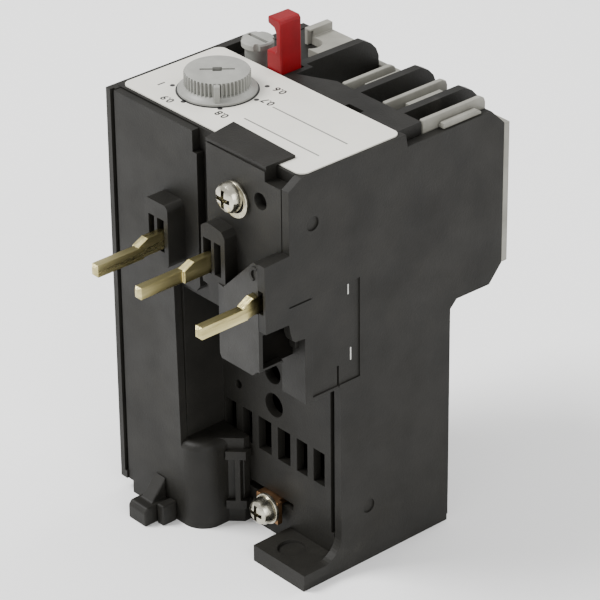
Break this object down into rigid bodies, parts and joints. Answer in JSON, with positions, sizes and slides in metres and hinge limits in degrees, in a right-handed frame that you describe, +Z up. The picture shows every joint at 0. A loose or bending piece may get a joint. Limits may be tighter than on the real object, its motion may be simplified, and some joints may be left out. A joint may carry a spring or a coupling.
{
  "type": "plug-in thermal overload relay",
  "caption": "Three-pole thermal overload relay with plug-in blades for a contactor, current dial, reset bar, selector and rear screw terminals, moving trip train inside.",
  "frame": {"origin": "Centre of the plan outline at the underside of the case and foot.", "axes": "+Z up through the dial face, the plug-in blades point along -Y, +X runs from the control side to the flat side cover."},
  "size_m": [0.045, 0.0636, 0.085],
  "materials": {
    "case_black": "satin moulded thermoset, charcoal",
    "block_black": "satin moulded thermoset, charcoal",
    "shroud_grey": "light grey moulded thermoplastic",
    "label_cream": "smooth printed film label",
    "control_grey": "light grey moulded knob plastic",
    "reset_red": "semi-gloss crimson plastic",
    "brass": "pale brushed brass",
    "tinned_brass": "tin-plated strip",
    "nickel": "nickel plate",
    "copper": "tarnished copper strip",
    "bimetal_steel": "rolled strip",
    "heater_sleeve": "woven glass sleeve with flat wire",
    "steel": "plain spring steel",
    "inner_white": "natural moulded plastic"
  },
  "bodies": {
    "case": {"adjusting_arm_pin": "steel", "base_case": "case_black", "contact_block": "inner_white", "contact_lever_pin": "steel", "contact_normally_closed": "steel", "contact_normally_open": "steel", "copper_tab": "copper", "cover_screw": "nickel", "cover_washer": "nickel", "deck_clip": "shroud_grey", "front_cover": "case_black", "insulating_sheet": "block_black", "latch_guide": "case_black", "latch_hook": "case_black", "load_terminal_l1": "tinned_brass", "load_terminal_l2": "tinned_brass", "load_terminal_l3": "tinned_brass", "pin_side_panel": "case_black", "pivot_plate": "inner_white", "plug_pin_l1": "brass", "plug_pin_l2": "brass", "plug_pin_l3": "brass", "rating_label": "label_cream", "side_cover": "case_black", "slider_guide": "block_black", "spring_seat": "inner_white", "tab_screw": "nickel", "tab_washer": "nickel", "terminal_block": "block_black", "terminal_shroud": "shroud_grey", "top_fascia": "case_black", "trip_lever_pin": "steel", "wire_guard_l1": "shroud_grey", "wire_guard_l2": "shroud_grey", "wire_guard_l3": "shroud_grey"},
    "dial": {"current_dial": "control_grey", "dial_cam": "inner_white"},
    "adjuster": {"adjusting_arm": "inner_white"},
    "selector": {"mode_selector": "control_grey"},
    "reset": {"reset_bar": "reset_red", "reset_spring": "steel"},
    "slider": {"trip_slider": "inner_white"},
    "tripper": {"trip_lever": "inner_white"},
    "switch": {"contact_lever": "inner_white", "moving_contact": "steel"},
    "element_l1": {"bimetal_strip_l1": "bimetal_steel", "heater_winding_l1": "heater_sleeve"},
    "clamp_l1": {"clamp_plate_l1": "tinned_brass", "terminal_screw_l1": "nickel"},
    "element_l2": {"bimetal_strip_l2": "bimetal_steel", "heater_winding_l2": "heater_sleeve"},
    "clamp_l2": {"clamp_plate_l2": "tinned_brass", "terminal_screw_l2": "nickel"},
    "element_l3": {"bimetal_strip_l3": "bimetal_steel", "heater_winding_l3": "heater_sleeve"},
    "clamp_l3": {"clamp_plate_l3": "tinned_brass", "terminal_screw_l3": "nickel"}
  },
  "joints": [
    {"name": "dial_turn", "type": "hinge", "parent": "case", "child": "dial", "pos_m": [-0.0092, -0.0024, 0.0756], "axis": [0, 0, 1], "range_deg": [-103, 97]},
    {"name": "adjuster_swing", "type": "hinge", "parent": "case", "child": "adjuster", "pos_m": [-0.018, -0.0056, 0.0635], "axis": [0, 0, 1], "range_deg": [-14.4, 15.3]},
    {"name": "selector_turn", "type": "hinge", "parent": "case", "child": "selector", "pos_m": [-0.016, 0.012, 0.0734], "axis": [0, 0, 1], "range_deg": [0, 90]},
    {"name": "reset_press", "type": "slide", "parent": "case", "child": "reset", "axis": [0, 0, -1], "range_m": [0, 0.0025], "stiffness_N_per_m": 300, "springref_m": -0.002, "deforming": ["reset_spring"]},
    {"name": "slider_trip", "type": "slide", "parent": "case", "child": "slider", "axis": [-1, 0, 0], "range_m": [0, 0.0025], "stiffness_N_per_m": 150, "springref_m": -0.0005},
    {"name": "trip_lever_swing", "type": "hinge", "parent": "case", "child": "tripper", "pos_m": [-0.0156, 0.0098, 0.024], "axis": [0, 1, 0], "range_deg": [-0.2, 9.7]},
    {"name": "contact_lever_swing", "type": "hinge", "parent": "case", "child": "switch", "pos_m": [-0.0126, 0.0098, 0.05], "axis": [0, 1, 0], "range_deg": [-9.7, 0.2]},
    {"name": "element_l1_bend", "type": "hinge", "parent": "case", "child": "element_l1", "pos_m": [-0.004, 0.0099, 0.042], "axis": [0, 1, 0], "range_deg": [-0.1, 5.3]},
    {"name": "element_l2_bend", "type": "hinge", "parent": "case", "child": "element_l2", "pos_m": [0.0074, 0.0099, 0.042], "axis": [0, 1, 0], "range_deg": [-0.1, 5.3]},
    {"name": "element_l3_bend", "type": "hinge", "parent": "case", "child": "element_l3", "pos_m": [0.01715, 0.0099, 0.042], "axis": [0, 1, 0], "range_deg": [-0.1, 5.3]},
    {"name": "clamp_l1_tighten", "type": "slide", "parent": "case", "child": "clamp_l1", "axis": [0, 0, -1], "range_m": [0, 0.0015]},
    {"name": "clamp_l2_tighten", "type": "slide", "parent": "case", "child": "clamp_l2", "axis": [0, 0, -1], "range_m": [0, 0.0015]},
    {"name": "clamp_l3_tighten", "type": "slide", "parent": "case", "child": "clamp_l3", "axis": [0, 0, -1], "range_m": [0, 0.0015]}
  ],
  "couplings": [
    {"joint": "adjuster_swing", "follows": "dial_turn", "ratio": -0.147},
    {"joint": "trip_lever_swing", "follows": "slider_trip", "rad_per_m": 66.667},
    {"joint": "contact_lever_swing", "follows": "slider_trip", "rad_per_m": -66.667},
    {"joint": "element_l1_bend", "follows": "slider_trip", "rad_per_m": 35.714},
    {"joint": "element_l2_bend", "follows": "slider_trip", "rad_per_m": 35.714},
    {"joint": "element_l3_bend", "follows": "slider_trip", "rad_per_m": 35.714}
  ]
}
